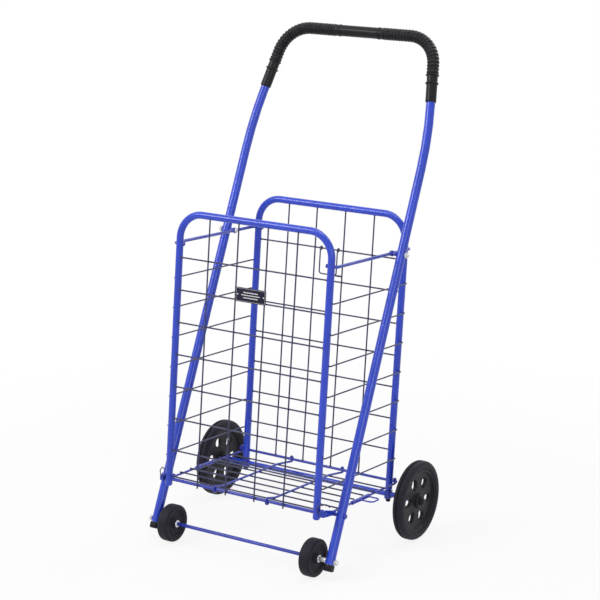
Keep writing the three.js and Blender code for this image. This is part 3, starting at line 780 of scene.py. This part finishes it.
# the small clearance leaves air between the tube and what stands beside it
handleFace = handle["half"] + handle["radius"] + pivotParts["gap"]
handleInside = handle["half"] - handle["radius"] - pivotParts["gap"]


def threadProfile(radius, start, end):
    pitch, depth = 0.8, 0.35
    profile = []
    along = start
    while along < end - pitch:
        profile += [(radius, along), (radius - depth, along + pitch / 2)]
        along += pitch
    return profile + [(radius, end)]


def addHexNut(bm, place, side, start, end, radius, bore):
    # each ring is a hexagon trimmed by a cone; start and end are distances from the cart's middle
    low, high = sorted((side * start, side * end))
    flatHalf = radius * math.cos(math.pi / 6)
    levels = ((bore + 0.2, low), (flatHalf, low), (radius * 0.955, low + 0.35), (radius, low + 0.9),
              (radius, high - 0.9), (radius * 0.955, high - 0.35), (flatHalf, high), (bore + 0.2, high),
              (bore, high - 0.3), (bore, low + 0.3))
    rings = []
    for reach, x in levels:
        places = []
        for a in roundAngles(48):
            flat = flatHalf / math.cos((a + math.pi / 6) % (math.pi / 3) - math.pi / 6)
            r = min(reach, flat)
            places.append((x, place.y + r * math.cos(a), place.z + r * math.sin(a)))
        rings.append(addRing(bm, places))
    joinRings(bm, rings, True)


def buildPivots():
    place = onHandle(0)
    radius, head, gap = pivotParts["boltRadius"], pivotParts["head"], pivotParts["gap"]
    eyeOuter = topRods["across"] + topRods["eyeWidth"] / 2
    headFace = eyeOuter - topRods["eyeWidth"] - gap
    nutEnd = handleFace + pivotParts["nutWidth"]
    boltEnd = nutEnd + pivotParts["tail"]
    bolt = [(0, headFace - pivotParts["headLength"])]
    for angle in (20, 40, 60, 80):
        a = math.radians(angle)
        bolt.append((head * math.sin(a), headFace - pivotParts["headLength"] * math.cos(a)))
    bolt += [(head, headFace - 0.2), (head - 0.2, headFace), (radius, headFace), (radius, handleFace)]
    bolt += threadProfile(radius, handleFace + 0.4, boltEnd - 0.5)
    bolt += [(radius - 0.6, boltEnd), (0, boltEnd)]
    low, outer, bore = eyeOuter + gap, pivotParts["spacer"], radius + 0.2
    spacer = softOutline([(bore, low, 0.3), (outer, low, 0.6), (outer, handleInside, 0.6),
                          (bore, handleInside, 0.3)])
    for word, side in sides:
        turnedPiece(f"pivotBolt.{word}", bolt, place, 32, side, "handle", brightZinc)
        bm = bmesh.new()
        addHexNut(bm, place, side, handleFace, nutEnd, pivotParts["nut"], radius + 0.15)
        finishPiece(f"pivotNut.{word}", bm, "handle", brightZinc, 25)
        turnedPiece(f"pivotSpacer.{word}", spacer, place, 32, side, "handle", rodEnamel)


def buildLatchPins():
    place = onHandle(-handle["latchDrop"])
    low, radius, collar = latchPins["inner"], latchPins["radius"], latchPins["collar"]
    high = handle["half"] + handle["radius"] + latchPins["tail"]
    profile = [(0, low), (radius - 0.5, low), (radius, low + 0.5), (radius, handleFace), (collar, handleFace),
               (collar, handleFace + 0.8), (3.4, high - 0.4), (2.6, high), (0, high)]
    for word, side in sides:
        turnedPiece(f"latchPin.{word}", profile, place, 32, side, "handle", rodEnamel)


def softCopy(name, body, material, bevel):
    # the frame's own flat piece with its edges broken
    bm = bmesh.new()
    bm.from_mesh(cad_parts[nodeName(name)].data)
    bmesh.ops.remove_doubles(bm, verts=bm.verts, dist=1e-6)
    bmesh.ops.dissolve_limit(bm, angle_limit=math.radians(1), verts=bm.verts, edges=bm.edges)
    finishPiece(name, bm, body, material, 30, bevel)


def buildLatchPlates():
    # each plate has a thin bent wire beside it, around the end of the cross rod
    front, back, high = catchWires["front"], catchWires["back"], catchWires["high"]
    inner, outer, z = catchWires["inner"], catchWires["outer"], bars["crossRodZ"]
    for word, side in sides:
        softCopy(f"latchPlate.{word}", "front_frame", tubeEnamel, 0.45)
        bm = bmesh.new()
        line = bentLine([
            ((side * inner, 4, z + 3.6), 0), ((side * inner, front, z + 3.6), 3),
            ((side * (inner + 2.2), front - 1, z + high), 3.5),
            ((side * (outer - 0.9), back - 10, z + high + 1), 3.5),
            ((side * outer, back, z + 9.8), 0),
        ], 20)
        addTube(bm, line, catchWires["radius"], 10)
        finishPiece(f"catchWire.{word}", bm, "front_frame", wireEnamel, isTrim=True)


buildPivots()
buildLatchPins()
buildLatchPlates()
print("pivots and latches built")


rearWheels = {
    "radius": 71.6, "width": 20, "centre": 212, "rimRadius": 57, "bead": 56.75, "hub": 13, "web": 7,
    "segments": 96, "groove": 2.2, "grooveHalf": 2.0, "play": 0.2,
    "slots": 6, "slotRadius": 33.5, "slotLength": 22, "slotWidth": 17, "slotTurn": 27,
    "rimEndWide": 1.12, "hubEndNarrow": 0.78,
}
frontWheels = {
    "radius": 33.4, "width": 21.5, "centre": 149, "segments": 72, "axle": 3.2, "axleEnd": 193.5, "play": 0.2,
    "pips": 4, "pipRadius": 16.5, "pip": (1.0, 1.8, 1.8), "flange": 6.5, "flangeWidth": 1.8, "sleeve": 4.1,
    "nut": 5.2, "nutWidth": 5.5,
}
hangerNuts = {"height": 86, "length": 4.6, "radius": 4.6, "bevel": 0.4}
frontAxlePlace = onHandle(-handle["downToAxle"])


def buildRearTyre(word, centre):
    half, radius, rim = rearWheels["width"] / 2, rearWheels["radius"], rearWheels["rimRadius"]
    deep, slit = radius - rearWheels["groove"], rearWheels["grooveHalf"]
    outline = mirroredOutline([
        (rim, -half + 1.2, 0.6), (rim + 3, -half, 1.4), (radius - 6.5, -half, 1.2),
        (radius - 5.8, -half + 0.7, 0.8), (radius - 2.2, -half + 1.4, 2.2), (radius - 0.2, -half + 4.4, 1.8),
        (radius, -slit, 0.4), (deep, -slit + 0.5, 0.4),
    ])
    turnedPiece(f"rearTyre.{word}", outline, centre, rearWheels["segments"], 1, f"rear_wheel_{word}",
                tyreRubber, 42)


def slotCutters(centre):
    # rounded slots, wide at the rim and narrow at the hub
    bm = bmesh.new()
    halfLength, halfWidth = rearWheels["slotLength"] / 2, rearWheels["slotWidth"] / 2
    slotEnds = ((1, 0, rearWheels["rimEndWide"]), (-1, math.pi, rearWheels["hubEndNarrow"]))
    reach, arcSteps = 15, 8
    for i in range(rearWheels["slots"]):
        turn = math.radians(rearWheels["slotTurn"] + 360 * i / rearWheels["slots"])
        corners = []
        for endSign, startAngle, share in slotEnds:
            bulge = halfWidth * share
            for k in range(arcSteps + 1):
                a = startAngle + math.pi * k / arcSteps
                u = bulge * math.cos(a)
                v = endSign * (halfLength - bulge) + bulge * math.sin(a) + rearWheels["slotRadius"]
                corners.append((centre[1] + u * math.cos(turn) - v * math.sin(turn),
                                centre[2] + u * math.sin(turn) + v * math.cos(turn)))
        joinRings(bm, [addRing(bm, [(x, y, z) for y, z in corners])
                       for x in (centre[0] - reach, centre[0] + reach)])
    return newObject("slotCutters", bm)


def buildRearRim(word, centre):
    bm = bmesh.new()
    half, web, bead = rearWheels["width"] / 2, rearWheels["web"] / 2, rearWheels["bead"]
    hub, bore = rearWheels["hub"], bars["axle"] + rearWheels["play"]
    outline = softOutline([
        (bore, -half, 0.5), (8.4, -half, 0.5), (9, -half + 1, 0.6), (hub, -half + 2, 1.2),
        (hub + 0.8, -web, 1.2), (bead - 5.4, -web, 2.2), (bead - 4.2, -half + 2.2, 1.2),
        (bead - 1, -half + 1.3, 0.8), (bead, -half + 2, 0.6), (bead, half - 2, 0.6),
        (bead - 1, half - 1.3, 0.8), (bead - 4.2, half - 2.2, 1.2), (bead - 5.4, web, 2.2),
        (hub + 0.8, web, 1.6), (hub, half - 2, 1.2), (9, half - 1, 0.6), (8.4, half, 0.5), (bore, half, 0.5),
    ])
    addTurned(bm, outline, centre, rearWheels["segments"])
    blank = newObject("rimBlank", bm)
    cutters = slotCutters(centre)
    modifier = blank.modifiers.new("slots", "BOOLEAN")
    modifier.operation = "DIFFERENCE"
    modifier.solver = "EXACT"
    modifier.object = cutters
    applyModifiers(blank)
    bm = bmesh.new()
    bm.from_mesh(blank.data)
    bpy.data.objects.remove(cutters)
    bpy.data.objects.remove(blank)
    finishPiece(f"rearRim.{word}", bm, f"rear_wheel_{word}", blackPlastic, 30)


def buildHubCap(word, side, centre):
    face = rearWheels["centre"] + rearWheels["width"] / 2 + 0.3
    end, bore = bars["axleEnd"] + 0.3, bars["axle"] + rearWheels["play"]
    profile = [(0, end), (bore, end), (bore, face), (8, face), (8, face + 1.2), (7.6, face + 1.8),
               (6.8, face + 2.2), (6.6, face + 3.4), (6.1, face + 4.8), (5, face + 5.8), (3.2, face + 6.4),
               (0, face + 6.5)]
    turnedPiece(f"hubCap.{word}", profile, (0, centre[1], centre[2]), 40, side, "rear_frame", blackPlastic,
                42)


def buildFrontWheel(word, side, place):
    bm = bmesh.new()
    half, radius, centreX = frontWheels["width"] / 2, frontWheels["radius"], side * frontWheels["centre"]
    bore = frontWheels["axle"] + frontWheels["play"]
    outline = mirroredOutline([
        (bore, -half + 0.2, 0.4), (9, -half + 0.2, 0.8), (10, -half + 3.6, 1), (22.5, -half + 4.2, 1.2),
        (24.6, -half + 0.4, 1), (radius - 2.6, -half, 1.6), (radius, -half + 2.4, 1.8),
    ], (radius + 0.1, 0, 0))
    addTurned(bm, outline, (centreX, place.y, place.z), frontWheels["segments"])
    # moulding pips around the web, on both faces
    pips, reach, size = frontWheels["pips"], frontWheels["pipRadius"], frontWheels["pip"]
    for x in (centreX - (half - 3.9), centreX + (half - 3.9)):
        for i in range(pips):
            a = math.radians(45 + 360 * i / pips)
            addNugget(bm, (x, place.y + reach * math.cos(a), place.z + reach * math.sin(a)), size)
    finishPiece(f"frontWheel.{word}", bm, f"front_wheel_{word}", tyreRubber, 42)


def buildWasher(word, side, place):
    bm = bmesh.new()
    face = frontWheels["centre"] + frontWheels["width"] / 2 + 0.3
    inner = frontWheels["centre"] - frontWheels["width"] / 2 - 0.2
    bore = frontWheels["axle"] + frontWheels["play"]
    out, sleeve = frontWheels["flange"], frontWheels["sleeve"]
    flange = face + frontWheels["flangeWidth"]
    washer = softOutline([(bore, face, 0.2), (out, face, 0.4), (out, flange - 0.5, 0.4),
                          (sleeve, flange, 0.4), (sleeve, handleInside, 0.5), (bore, handleInside, 0.2)])
    # a dished push-on retainer holds the wheel's inner face
    retainer = softOutline([(bore, inner, 0.2), (6.6, inner, 0.3), (6.6, inner - 0.8, 0.3),
                            (4.8, inner - 2.2, 0.4), (bore, inner - 2.2, 0.2)])
    for outline in (washer, retainer):
        addTurned(bm, outline, place, 32, side)
    finishPiece(f"wheelWasher.{word}", bm, "handle", brightZinc, 30)


def buildAxleNut(word, side, place):
    bm = bmesh.new()
    end, bore = handleFace + frontWheels["nutWidth"], frontWheels["axle"] + frontWheels["play"]
    addHexNut(bm, place, side, handleFace, end - 1, frontWheels["nut"], bore)
    # the domed cover over the rod's end
    cover = [(0, end - 1.6), (bore - 0.4, end - 1.6), (bore + 0.6, end - 1.2), (4.0, end - 0.6),
             (3.2, end + 0.3), (1.8, end + 0.9), (0, end + 1.1)]
    addTurned(bm, cover, place, 32, side)
    finishPiece(f"axleNut.{word}", bm, "handle", brightZinc, 25)


def buildHanger(word, side):
    # the hanger, and a dark nut low on the bolt that holds it
    softCopy(f"axleHanger.{word}", "rear_frame", rodEnamel, 0.9)
    bm = bmesh.new()
    foot = Vector((side * hoops["halfWidth"], rearY, hangerNuts["height"]))
    addTube(bm, [foot, foot + Vector((0, 0, hangerNuts["length"]))], hangerNuts["radius"], 6, False)
    finishPiece(f"hangerNut.{word}", bm, "rear_frame", blackPlastic, 30, hangerNuts["bevel"], True)


axleMesh = bmesh.new()
addCrossWire(axleMesh, frontWheels["axleEnd"], frontAxlePlace.y, frontAxlePlace.z, frontWheels["axle"], 20)
finishPiece("frontAxle", axleMesh, "handle", rodEnamel)
for word, side in sides:
    rearCentre = (side * rearWheels["centre"], rearY, bars["axleZ"])
    buildRearTyre(word, rearCentre)
    buildRearRim(word, rearCentre)
    buildHubCap(word, side, rearCentre)
    buildFrontWheel(word, side, frontAxlePlace)
    buildWasher(word, side, frontAxlePlace)
    buildAxleNut(word, side, frontAxlePlace)
    buildHanger(word, side)
print("wheels built")


namePlate = {"width": 62, "height": 25, "thickness": 1.2, "back": -6.6, "across": 3, "middle": 468.5,
             "corner": 1.6, "border": 1.6, "line": 0.5, "trimDepth": 0.18, "bars": (15, 19, 15),
             "barHalf": 0.9, "barPitch": 4.6, "rivetsAt": 26.6, "rivet": (1.5, 0.7, 1.5)}
bail = {"wire": 1.25, "half": 18, "drop": 46, "corner": 5, "tip": 32, "tipWider": 1.5, "play": 0.3,
        "rowWire": 1.5, "bead": (2.6, 1.4, 1.6)}


def buildNamePlate():
    halfWidth, halfHeight = namePlate["width"] / 2, namePlate["height"] / 2
    back, middle, edge = namePlate["back"], namePlate["middle"], namePlate["border"]
    front = back - namePlate["thickness"]

    def addCard(bm, x, z, outline, low, high):
        joinRings(bm, [addRing(bm, [(namePlate["across"] + x + a, y, z + b) for a, b in outline])
                       for y in (low, high)])

    bm = bmesh.new()
    addCard(bm, 0, middle, boxOutline(halfWidth, halfHeight, namePlate["corner"]), front, back)
    finishPiece("namePlate", bm, "front_frame", plateEnamel, 30, 0.25)
    # plain pressed decoration: a thin border and three short bars, with a rivet at each end
    bm = bmesh.new()
    face = front - namePlate["trimDepth"]
    line = namePlate["line"] / 2
    level, upright = boxOutline(halfWidth - edge, line, 0.1), boxOutline(line, halfHeight - edge, 0.1)
    for sign in (-1, 1):
        addCard(bm, 0, middle + sign * (halfHeight - edge), level, face, front)
        addCard(bm, sign * (halfWidth - edge), middle, upright, face, front)
    for i, length in enumerate(namePlate["bars"]):
        z = middle + (1 - i) * namePlate["barPitch"]
        addCard(bm, 0, z, boxOutline(length, namePlate["barHalf"], 0.4), face, front)
    finishPiece("namePlateTrim", bm, "front_frame", brightZinc, 30, isTrim=True)
    bm = bmesh.new()
    for x in (-namePlate["rivetsAt"], namePlate["rivetsAt"]):
        addNugget(bm, (namePlate["across"] + x, front, middle), namePlate["rivet"])
    finishPiece("namePlateRivets", bm, "front_frame", brightZinc, isTrim=True)


def buildBail():
    # a square loop hooked round the top row of the rear mesh, with a thicker tip to one side
    bm = bmesh.new()
    wire, half = bail["wire"], bail["half"]
    y, z = rearY + panels["rowInset"], hoops["rearTop"] - panels["rowDrop"]
    wrap = bail["rowWire"] + bail["play"] + wire
    low, front = z - bail["drop"], y - wrap
    line = arcLine(-half, y, z, wrap, -70, 180)
    line += bentLine([((-half, front, z - 2), 0), ((-half, front, low), bail["corner"]),
                      ((half, front, low), bail["corner"]), ((half, front, z - 2), 0)], 12)
    line += arcLine(half, y, z, wrap, 180, -70)
    addTube(bm, line, wire, 12)
    tip = [Vector((x, front - 1.9, low + 0.2)) for x in (half - 6, half + 6, bail["tip"])]
    addTube(bm, tip, [wire, wire * bail["tipWider"], wire], 12)
    addNugget(bm, (half - 4, front - 1, low + 0.1), bail["bead"])
    finishPiece("safetyBail", bm, "bail", wireEnamel)


buildNamePlate()
buildBail()
print("small pieces built")


studio = {
    "floorSize": 14, "shadowRadius": 0.55, "fadeRadius": 1.15, "floorColour": (0.86, 0.86, 0.87),
    "shadowShare": 0.14, "worldStrength": 0.36, "aim": (0, 0, 0.42),
    "lights": (
        ("keyLight", (-1.9, -2.3, 2.6), 1.5, 52), ("fillLight", (2.6, -2.0, 1.5), 1.8, 19),
        ("backLight", (0.6, 2.6, 2.4), 1.6, 26), ("topLight", (0, 0, 3.2), 1.8, 26),
    ),
}
view = {"azimuth": 32.82, "elevation": 15.15, "roll": -0.172, "place": (1.8110, -2.8012, 1.3270),
        "lens": 117.159, "sensor": 36}


def addMath(tree, operation, first, second):
    node = addNode(tree, "ShaderNodeMath", {0: first, 1: second})
    node.operation = operation
    return node.outputs[0]


def seenRays(tree):
    # 1 for what the camera sees, straight, mirrored or through something clear
    path = tree.nodes.new("ShaderNodeLightPath").outputs
    direct = addMath(tree, "MAXIMUM", path["Is Camera Ray"], path["Is Glossy Ray"])
    return addMath(tree, "MAXIMUM", direct, path["Is Transmission Ray"])


def mixInto(tree, output, factor, first, second):
    mix = addNode(tree, "ShaderNodeMixShader", {"Fac": factor, 1: first, 2: second})
    feed(tree, output, {"Surface": mix.outputs["Shader"]})


def buildFloorStage():
    bpy.ops.mesh.primitive_circle_add(vertices=64, radius=studio["floorSize"], fill_type="NGON")
    floor = bpy.context.object
    floor.name = "studioFloor"
    floor.location.z = -0.0006
    material = bpy.data.materials.new("paleFloor")
    tree, output = emptyTree(material, "ShaderNodeOutputMaterial")
    matt = addNode(tree, "ShaderNodeBsdfDiffuse", {"Color": (*studio["floorColour"], 1)})
    glow = addNode(tree, "ShaderNodeEmission", {"Color": (1, 1, 1, 1)})
    # near the cart part of the floor's own shading shows, and fades to plain white further out
    where = tree.nodes.new("ShaderNodeTexCoord").outputs["Object"]
    distance = addNode(tree, "ShaderNodeVectorMath", {0: where})
    distance.operation = "LENGTH"
    fade = addRange(tree, distance.outputs["Value"], studio["shadowRadius"], studio["fadeRadius"],
                    1 - studio["shadowShare"], 1)
    factor = addMath(tree, "MULTIPLY", seenRays(tree), fade)
    mixInto(tree, output, factor, matt.outputs["BSDF"], glow.outputs["Emission"])
    floor.data.materials.append(material)


def buildWorld():
    # soft light on the cart, plain white behind it
    world = bpy.data.worlds.new("studioWorld")
    bpy.context.scene.world = world
    tree, output = emptyTree(world, "ShaderNodeOutputWorld")
    soft, white = (addNode(tree, "ShaderNodeBackground", {"Color": (1, 1, 1, 1), "Strength": strength})
                   for strength in (studio["worldStrength"], 1))
    mixInto(tree, output, seenRays(tree), soft.outputs["Background"], white.outputs["Background"])


def buildLights():
    aim = Vector(studio["aim"])
    for name, place, size, power in studio["lights"]:
        lamp = bpy.data.lights.new(name, "AREA")
        lamp.shape = "DISK"
        lamp.size = size
        lamp.energy = power
        holder = bpy.data.objects.new(name, lamp)
        bpy.context.scene.collection.objects.link(holder)
        holder.location = place
        holder.rotation_euler = (aim - Vector(place)).to_track_quat("-Z", "Y").to_euler()


def buildCamera():
    lens = bpy.data.cameras.new("viewCamera")
    camera = bpy.data.objects.new("viewCamera", lens)
    bpy.context.scene.collection.objects.link(camera)
    # azimuth is measured from straight in front towards the cart's right
    pose = Matrix.Translation(view["place"])
    for angle, axis in ((view["azimuth"], "Z"), (90 - view["elevation"], "X"), (view["roll"], "Z")):
        pose = pose @ Matrix.Rotation(math.radians(angle), 4, axis)
    camera.matrix_world = pose
    lens.lens = view["lens"]
    lens.sensor_width = view["sensor"]
    lens.clip_end = 50
    bpy.context.scene.camera = camera


buildFloorStage()
buildWorld()
buildLights()
buildCamera()
bpy.context.scene.view_settings.view_transform = "Standard"
print("studio ready")
